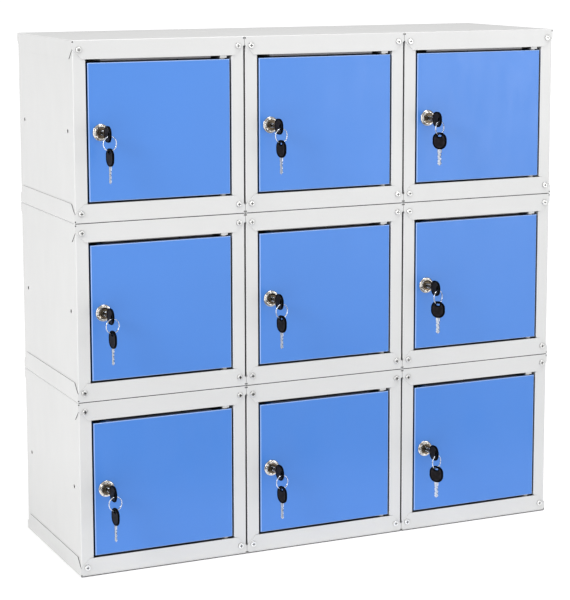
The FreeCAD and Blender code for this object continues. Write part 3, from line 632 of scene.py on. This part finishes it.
def make_bow_mesh():
    """Key bow in the YZ plane: its blade end at Y = 0, its ring slot near the far end."""
    steps = 88
    # Directions are closer together across the bow, the slot's long way, than along it.
    directions = []
    for i in range(steps):
        share = i / steps
        directions.append(2 * math.pi * share + 0.42 * math.sin(2 * math.pi * share * 2))
    stops = [bow_stops(angle) for angle in directions]
    # Each row is a stretch between two stops and a share of it; rows are close together at both edges.
    rows = [(0, (k / 9) ** 2) for k in range(9)] + [(1, k / 3) for k in range(3)]
    rows += [(2, k / 6) for k in range(6)] + [(3, k / 3) for k in range(3)]
    rows += [(4, 1 - (1 - k / 9) ** 2) for k in range(10)]
    rings = []
    for face in (1, -1):
        for part, share in rows[::face]:
            ring = []
            for angle, reached in zip(directions, stops):
                r = reached[part] + (reached[part + 1] - reached[part]) * share
                y = SLOT_CENTRE + r * math.cos(angle)
                z = r * math.sin(angle)
                ring.append((face * bow_height(y, z), y, z))
            rings.append(ring)
    rings.append(rings[0])
    points, faces = wrapped(rings)
    slots = []
    for corners in faces:
        y = sum(points[i][1] for i in corners) / 4
        z = sum(points[i][2] for i in corners) / 4
        in_panel = bow_edge(y, z) > PANEL_FINISH[0] and slot_edge(y, z) > PANEL_FINISH[1]
        slots.append(1 if in_panel else 0)
    return finished("key_bow", points, faces, [BLACK, CHARCOAL], 60, slots)


# Depths of the cuts in millimetres, from bow to tip on the upper edge and from tip to bow on the lower.
CUT_DEPTHS = (0.9, 1.9, 0.5, 1.4, 2.2, 0.9, 1.6)
FIRST_CUT = 7.0 * MM
CUT_PITCH = 2.6 * MM


def blade_edge(y, upper):
    """Half height of the blade at one place along it: shoulder, bitting cuts and tip."""
    full = 4.0 * MM
    cut = 0.0
    for number, depth in enumerate(CUT_DEPTHS if upper else CUT_DEPTHS[::-1]):
        away = abs(y - (FIRST_CUT + number * CUT_PITCH))
        cut = max(cut, depth * MM * (1 - eased(away, 0.45 * MM, 1.45 * MM)))
    width = full - cut
    if y > 25 * MM:
        width = min(width, full - (y - 25 * MM) * 1.05)
    if y < 1.0 * MM:
        width = full
    return max(width, 0.7 * MM)


def make_blade_mesh():
    """Key blade along +Y from the bow: cuts on both edges and a milled groove on each face."""
    across, along = 17, 112
    rings = []
    for step in range(along + 1):
        y = -BLADE_ROOT + (BLADE_LENGTH + BLADE_ROOT) * step / along
        upper, lower = blade_edge(y, True), blade_edge(y, False)
        taper = 1.0 - 0.45 * eased(y, 26 * MM, 28 * MM)
        ring = []
        for face in (1, -1):
            for i in range(across):
                share = i / (across - 1)
                z = upper - (upper + lower) * (share if face == 1 else 1 - share)
                end = min(share, 1 - share) * (upper + lower)
                half = 1.0 * MM - 0.3 * MM * (1 - eased(end, 0.0, 0.5 * MM))
                centre = z - 0.6 * MM * face
                groove = 1 - eased(abs(centre), 0.8 * MM, 1.2 * MM)
                half -= 0.42 * MM * groove * eased(y, 0.5 * MM, 2.0 * MM)
                ring.append((face * half * taper, y, z))
        rings.append(ring)
    points, faces = wrapped(rings, closed_ends=True)
    return finished("key_blade", points, faces, [KEY_METAL], 40)


def make_ring_mesh():
    """Split ring in the XZ plane: two close turns of flattened wire with a crossing step."""
    steps, round_steps = 200, 12
    total = 4 * math.pi
    joint = 0.9
    rings = []
    for step in range(steps + 1):
        angle = total * step / steps
        shift = eased(angle, 2 * math.pi - 0.45, 2 * math.pi + 0.45) - 0.5
        middle = 0.9 * MM * shift
        end = min(angle, total - angle)
        slim = 0.55 + 0.45 * eased(end, 0.0, 0.12)
        ring = []
        for i in range(round_steps):
            turn = 2 * math.pi * i / round_steps
            c, s = math.cos(turn), math.sin(turn)
            wide = 0.60 * MM * math.copysign(abs(c) ** 0.8, c) * slim
            thick = 0.42 * MM * math.copysign(abs(s) ** 0.8, s) * slim
            r = RING_RADIUS + wide
            ring.append((r * math.sin(angle + joint), middle + thick, r * math.cos(angle + joint)))
        rings.append(ring)
    points, faces = wrapped(rings, closed_ends=True)
    return finished("split_ring", points, faces, [WIRE], 50)


# ---------------------------------------------------------------- locks in place


COLLAR = make_collar_mesh()
NUT = make_nut_mesh()
PLUG = make_plug_mesh()
CAM = make_cam_mesh()
CAM_SCREW = make_cam_screw_mesh()
BOW = make_bow_mesh()
BLADE = make_blade_mesh()
RING = make_ring_mesh()


def rotation(angle, axis):
    """A turn in degrees about an axis."""
    return Matrix.Rotation(math.radians(angle), 4, axis)


def add_lock(locker):
    """The lock, both keys and the split ring of one locker."""
    door_body = "door_body_" + locker
    lock_body = "lock_body_" + locker
    ring_body = "keyring_body_" + locker
    column = locker[-1]

    low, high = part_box("lock_barrel_" + locker)
    x, z = (low.x + high.x) / 2, (low.z + high.z) / 2
    door_face = low.y + COLLAR_FRONT
    on_face = Matrix.Translation((x, door_face, z))
    behind_door = Matrix.Translation((x, door_face + DOOR_SHEET, z))
    piece("lock_collar_" + locker, COLLAR, on_face, door_body, "nickel", "lock_barrel_" + locker)
    piece("lock_nut_" + locker, NUT, behind_door, door_body, "zinc_steel")

    cam_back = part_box("lock_cam_" + locker)[1].y - CAM_SCREW_HEAD
    cam_middle = Matrix.Translation((x, cam_back - CAM_THICK / 2, z))
    on_cam = Matrix.Translation((x, cam_back, z))
    piece("lock_plug_" + locker, PLUG, on_face, lock_body, "nickel", "lock_cam_" + locker)
    piece("cam_finger_" + locker, CAM, cam_middle, lock_body, "zinc_steel")
    piece("cam_screw_" + locker, CAM_SCREW, on_cam, lock_body, "zinc_steel")

    root_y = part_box("lock_key_" + locker)[0].y + BOW_LENGTH
    root = Matrix.Translation((x, root_y, z))
    piece("key_bow_" + locker, BOW, root, lock_body, "black_key_plastic", "lock_key_" + locker)
    piece("key_blade_" + locker, BLADE, root, lock_body, "key_nickel")

    spare_low, spare_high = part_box("spare_key_" + locker)
    slot_y = root_y + SLOT_CENTRE
    hung = Matrix.Translation((x, slot_y, spare_low.z + BLADE_LENGTH))
    hung = hung @ rotation(SPARE_TURN[column], "Z") @ rotation(-90, "X")
    piece("spare_bow_" + locker, BOW, hung, ring_body, "black_key_plastic", "spare_key_" + locker)
    piece("spare_blade_" + locker, BLADE, hung, ring_body, "key_nickel")
    ring_place = Matrix.Translation((x, slot_y, spare_high.z - RING_TOP)) @ rotation(RING_TURN[column], "Z")
    piece("split_ring_" + locker, RING, ring_place, ring_body, "key_nickel")


for locker in LOCKERS:
    add_lock(locker)


# ---------------------------------------------------------------- stage


FLOOR_HALF = 60.0
FLOOR_DROP = 0.5 * MM

# Cards that only reflections see: how brightly each glows, and its corners.
CARDS = (
    ("right_flag", 0.0, [(1.7, -1.5, 0.05), (1.7, 1.6, 0.05), (1.7, 1.6, 2.2), (1.7, -1.5, 2.2)]),
    ("low_flag", 0.0, [(-0.9, -1.5, 0.02), (0.9, -1.5, 0.02), (0.9, -0.5, 0.02), (-0.9, -0.5, 0.02)]),
    ("left_card", 4.0, [(-3.6, -2.2, 0.7), (-2.5, -3.7, 0.7), (-2.5, -3.7, 1.8), (-3.6, -2.2, 1.8)]),
)

# Square lamps aimed at the bank's middle: place, side and power in watts.
LAMPS = (
    ("key_softbox", (-3.8, -1.7, 2.7), 1.5, 62.0),
    ("fill_softbox", (2.5, -3.7, 0.85), 1.2, 17.0),
    ("top_softbox", (0.3, -1.0, 3.7), 1.4, 52.0),
)
LAMPS_AIM = (0, 0, 0.5)
SKY_STRENGTH = 0.62


def flat_sheet(name, corners, material):
    """One flat sheet with four corners."""
    mesh = bpy.data.meshes.new(name)
    mesh.from_pydata(corners, [], [(0, 1, 2, 3)])
    mesh.materials.append(material)
    sheet = bpy.data.objects.new(name, mesh)
    bpy.context.scene.collection.objects.link(sheet)
    return sheet


def make_floor():
    """Plain pale paper that glows a little, and more so away from the bank."""
    shader = Shader("floor_paper")
    tone = shader.noise(3.0, 2.0)
    shader.colour(shader.blend(tone, (0.93, 0.93, 0.93), (0.95, 0.95, 0.95)))
    shader.set(Roughness=0.9, Specular_IOR_Level=0.1, Emission_Color=(1, 1, 1, 1))
    away = shader.add("ShaderNodeVectorMath", operation="LENGTH")
    shader.join(shader.place, away.inputs[0])
    glow = shader.remap(away.outputs["Value"], 1.2, 5.0, 0.32, 0.55)
    shader.join(glow, shader.surface.inputs["Emission Strength"])
    side = FLOOR_HALF
    corners = [(-side, -side, 0), (side, -side, 0), (side, side, 0), (-side, side, 0)]
    floor = flat_sheet("floor", corners, shader.material)
    floor.location = (0, 0, -FLOOR_DROP)


def make_cards():
    """Dark flags on the right and below, and a bright card on the left, for the metal to reflect."""
    for name, glow, corners in CARDS:
        shader = Shader(name)
        shader.colour(shader.blend(shader.noise(4.0), (0.01, 0.01, 0.01), (0.02, 0.02, 0.02)))
        shader.set(Emission_Color=(1, 1, 1, 1), Emission_Strength=glow)
        card = flat_sheet(name, corners, shader.material)
        card.visible_camera = card.visible_diffuse = card.visible_shadow = False


def make_sky():
    """An even white surround."""
    world = bpy.data.worlds.new("studio")
    world.use_nodes = True
    background = world.node_tree.nodes["Background"]
    background.inputs["Color"].default_value = (1, 1, 1, 1)
    background.inputs["Strength"].default_value = SKY_STRENGTH
    bpy.context.scene.world = world


def make_lamps():
    """Soft square lamps at the upper left, low on the right and above."""
    for name, place, size, power in LAMPS:
        lamp = bpy.data.lights.new(name, "AREA")
        lamp.shape = "SQUARE"
        lamp.size = size
        lamp.energy = power
        holder = bpy.data.objects.new(name, lamp)
        holder.location = place
        aim = Vector(LAMPS_AIM) - Vector(place)
        holder.rotation_euler = aim.to_track_quat("-Z", "Y").to_euler()
        bpy.context.scene.collection.objects.link(holder)


make_floor()
make_cards()
make_sky()
make_lamps()
bpy.context.scene.view_settings.view_transform = "Standard"
